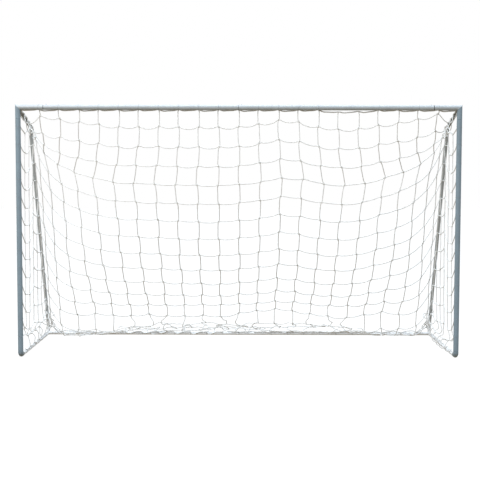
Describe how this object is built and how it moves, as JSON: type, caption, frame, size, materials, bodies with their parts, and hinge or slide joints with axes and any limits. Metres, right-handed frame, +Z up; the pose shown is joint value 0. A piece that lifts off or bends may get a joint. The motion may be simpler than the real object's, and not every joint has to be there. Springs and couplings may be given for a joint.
{
  "type": "soccer goal",
  "caption": "Portable soccer goal: push-together round steel tube frame with snap buttons, bent rear stays, ground bars and a knotted square-mesh net.",
  "frame": {"origin": "on the ground under the middle of the goal's overall box", "axes": "+X across the goal mouth, +Y from the mouth towards the back bar, +Z up"},
  "size_m": [3.2, 1.1026, 1.8285],
  "materials": {
    "main_tube": "satin",
    "thin_tube": "satin",
    "snap_button": "satin",
    "leaf_spring": "satin",
    "net_twine": "matte",
    "strap_webbing": "matte"
  },
  "bodies": {
    "root": {"top_corner_left": "main_tube", "foot_left": "main_tube", "rear_corner_left": "thin_tube", "crossbar_left": "main_tube", "back_bar_left": "thin_tube", "upright_left": "main_tube", "side_bar_left": "thin_tube", "stay_left": "thin_tube", "top_corner_right": "main_tube", "foot_right": "main_tube", "rear_corner_right": "thin_tube", "crossbar_right": "main_tube", "back_bar_right": "thin_tube", "upright_right": "main_tube", "side_bar_right": "thin_tube", "stay_right": "thin_tube", "net_strap_high_left": "strap_webbing", "net_strap_low_left": "strap_webbing", "net_strap_high_right": "strap_webbing", "net_strap_low_right": "strap_webbing", "button_spring_crossbar_left": "leaf_spring", "button_spring_upright_top_left": "leaf_spring", "button_spring_upright_bottom_left": "leaf_spring", "button_spring_stay_top_left": "leaf_spring", "button_spring_side_bar_front_left": "leaf_spring", "button_spring_side_bar_rear_left": "leaf_spring", "button_spring_stay_bottom_left": "leaf_spring", "button_spring_back_bar_left": "leaf_spring", "button_spring_crossbar_right": "leaf_spring", "button_spring_upright_top_right": "leaf_spring", "button_spring_upright_bottom_right": "leaf_spring", "button_spring_stay_top_right": "leaf_spring", "button_spring_side_bar_front_right": "leaf_spring", "button_spring_side_bar_rear_right": "leaf_spring", "button_spring_stay_bottom_right": "leaf_spring", "button_spring_back_bar_right": "leaf_spring", "button_spring_crossbar_middle": "leaf_spring", "button_spring_back_bar_middle": "leaf_spring", "net_back_upper": "net_twine", "net_back_lower": "net_twine", "net_side_left": "net_twine", "net_side_right": "net_twine"},
    "button_crossbar_left": {"snap_button_crossbar_left": "snap_button"},
    "button_upright_top_left": {"snap_button_upright_top_left": "snap_button"},
    "button_upright_bottom_left": {"snap_button_upright_bottom_left": "snap_button"},
    "button_stay_top_left": {"snap_button_stay_top_left": "snap_button"},
    "button_side_bar_front_left": {"snap_button_side_bar_front_left": "snap_button"},
    "button_side_bar_rear_left": {"snap_button_side_bar_rear_left": "snap_button"},
    "button_stay_bottom_left": {"snap_button_stay_bottom_left": "snap_button"},
    "button_back_bar_left": {"snap_button_back_bar_left": "snap_button"},
    "button_crossbar_right": {"snap_button_crossbar_right": "snap_button"},
    "button_upright_top_right": {"snap_button_upright_top_right": "snap_button"},
    "button_upright_bottom_right": {"snap_button_upright_bottom_right": "snap_button"},
    "button_stay_top_right": {"snap_button_stay_top_right": "snap_button"},
    "button_side_bar_front_right": {"snap_button_side_bar_front_right": "snap_button"},
    "button_side_bar_rear_right": {"snap_button_side_bar_rear_right": "snap_button"},
    "button_stay_bottom_right": {"snap_button_stay_bottom_right": "snap_button"},
    "button_back_bar_right": {"snap_button_back_bar_right": "snap_button"},
    "button_crossbar_middle": {"snap_button_crossbar_middle": "snap_button"},
    "button_back_bar_middle": {"snap_button_back_bar_middle": "snap_button"}
  },
  "joints": [
    {"name": "press_crossbar_left", "type": "slide", "parent": "root", "child": "button_crossbar_left", "axis": [0, 0, -1], "range_m": [0, 0.0052], "stiffness_N_per_m": 1500, "springref_m": -0.003, "deforming": ["button_spring_crossbar_left"]},
    {"name": "press_upright_top_left", "type": "slide", "parent": "root", "child": "button_upright_top_left", "axis": [0, -1, 0], "range_m": [0, 0.0052], "stiffness_N_per_m": 1500, "springref_m": -0.003, "deforming": ["button_spring_upright_top_left"]},
    {"name": "press_upright_bottom_left", "type": "slide", "parent": "root", "child": "button_upright_bottom_left", "axis": [0, -1, 0], "range_m": [0, 0.0052], "stiffness_N_per_m": 1500, "springref_m": -0.003, "deforming": ["button_spring_upright_bottom_left"]},
    {"name": "press_stay_top_left", "type": "slide", "parent": "root", "child": "button_stay_top_left", "axis": [1, 0, 0], "range_m": [0, 0.005], "stiffness_N_per_m": 1500, "springref_m": -0.003, "deforming": ["button_spring_stay_top_left"]},
    {"name": "press_side_bar_front_left", "type": "slide", "parent": "root", "child": "button_side_bar_front_left", "axis": [1, 0, 0], "range_m": [0, 0.005], "stiffness_N_per_m": 1500, "springref_m": -0.003, "deforming": ["button_spring_side_bar_front_left"]},
    {"name": "press_side_bar_rear_left", "type": "slide", "parent": "root", "child": "button_side_bar_rear_left", "axis": [1, 0, 0], "range_m": [0, 0.005], "stiffness_N_per_m": 1500, "springref_m": -0.003, "deforming": ["button_spring_side_bar_rear_left"]},
    {"name": "press_stay_bottom_left", "type": "slide", "parent": "root", "child": "button_stay_bottom_left", "axis": [1, 0, 0], "range_m": [0, 0.005], "stiffness_N_per_m": 1500, "springref_m": -0.003, "deforming": ["button_spring_stay_bottom_left"]},
    {"name": "press_back_bar_left", "type": "slide", "parent": "root", "child": "button_back_bar_left", "axis": [0, 0, -1], "range_m": [0, 0.005], "stiffness_N_per_m": 1500, "springref_m": -0.003, "deforming": ["button_spring_back_bar_left"]},
    {"name": "press_crossbar_right", "type": "slide", "parent": "root", "child": "button_crossbar_right", "axis": [0, 0, -1], "range_m": [0, 0.0052], "stiffness_N_per_m": 1500, "springref_m": -0.003, "deforming": ["button_spring_crossbar_right"]},
    {"name": "press_upright_top_right", "type": "slide", "parent": "root", "child": "button_upright_top_right", "axis": [0, -1, 0], "range_m": [0, 0.0052], "stiffness_N_per_m": 1500, "springref_m": -0.003, "deforming": ["button_spring_upright_top_right"]},
    {"name": "press_upright_bottom_right", "type": "slide", "parent": "root", "child": "button_upright_bottom_right", "axis": [0, -1, 0], "range_m": [0, 0.0052], "stiffness_N_per_m": 1500, "springref_m": -0.003, "deforming": ["button_spring_upright_bottom_right"]},
    {"name": "press_stay_top_right", "type": "slide", "parent": "root", "child": "button_stay_top_right", "axis": [-1, 0, 0], "range_m": [0, 0.005], "stiffness_N_per_m": 1500, "springref_m": -0.003, "deforming": ["button_spring_stay_top_right"]},
    {"name": "press_side_bar_front_right", "type": "slide", "parent": "root", "child": "button_side_bar_front_right", "axis": [-1, 0, 0], "range_m": [0, 0.005], "stiffness_N_per_m": 1500, "springref_m": -0.003, "deforming": ["button_spring_side_bar_front_right"]},
    {"name": "press_side_bar_rear_right", "type": "slide", "parent": "root", "child": "button_side_bar_rear_right", "axis": [-1, 0, 0], "range_m": [0, 0.005], "stiffness_N_per_m": 1500, "springref_m": -0.003, "deforming": ["button_spring_side_bar_rear_right"]},
    {"name": "press_stay_bottom_right", "type": "slide", "parent": "root", "child": "button_stay_bottom_right", "axis": [-1, 0, 0], "range_m": [0, 0.005], "stiffness_N_per_m": 1500, "springref_m": -0.003, "deforming": ["button_spring_stay_bottom_right"]},
    {"name": "press_back_bar_right", "type": "slide", "parent": "root", "child": "button_back_bar_right", "axis": [0, 0, -1], "range_m": [0, 0.005], "stiffness_N_per_m": 1500, "springref_m": -0.003, "deforming": ["button_spring_back_bar_right"]},
    {"name": "press_crossbar_middle", "type": "slide", "parent": "root", "child": "button_crossbar_middle", "axis": [0, 0, -1], "range_m": [0, 0.0052], "stiffness_N_per_m": 1500, "springref_m": -0.003, "deforming": ["button_spring_crossbar_middle"]},
    {"name": "press_back_bar_middle", "type": "slide", "parent": "root", "child": "button_back_bar_middle", "axis": [0, 0, -1], "range_m": [0, 0.005], "stiffness_N_per_m": 1500, "springref_m": -0.003, "deforming": ["button_spring_back_bar_middle"]}
  ]
}
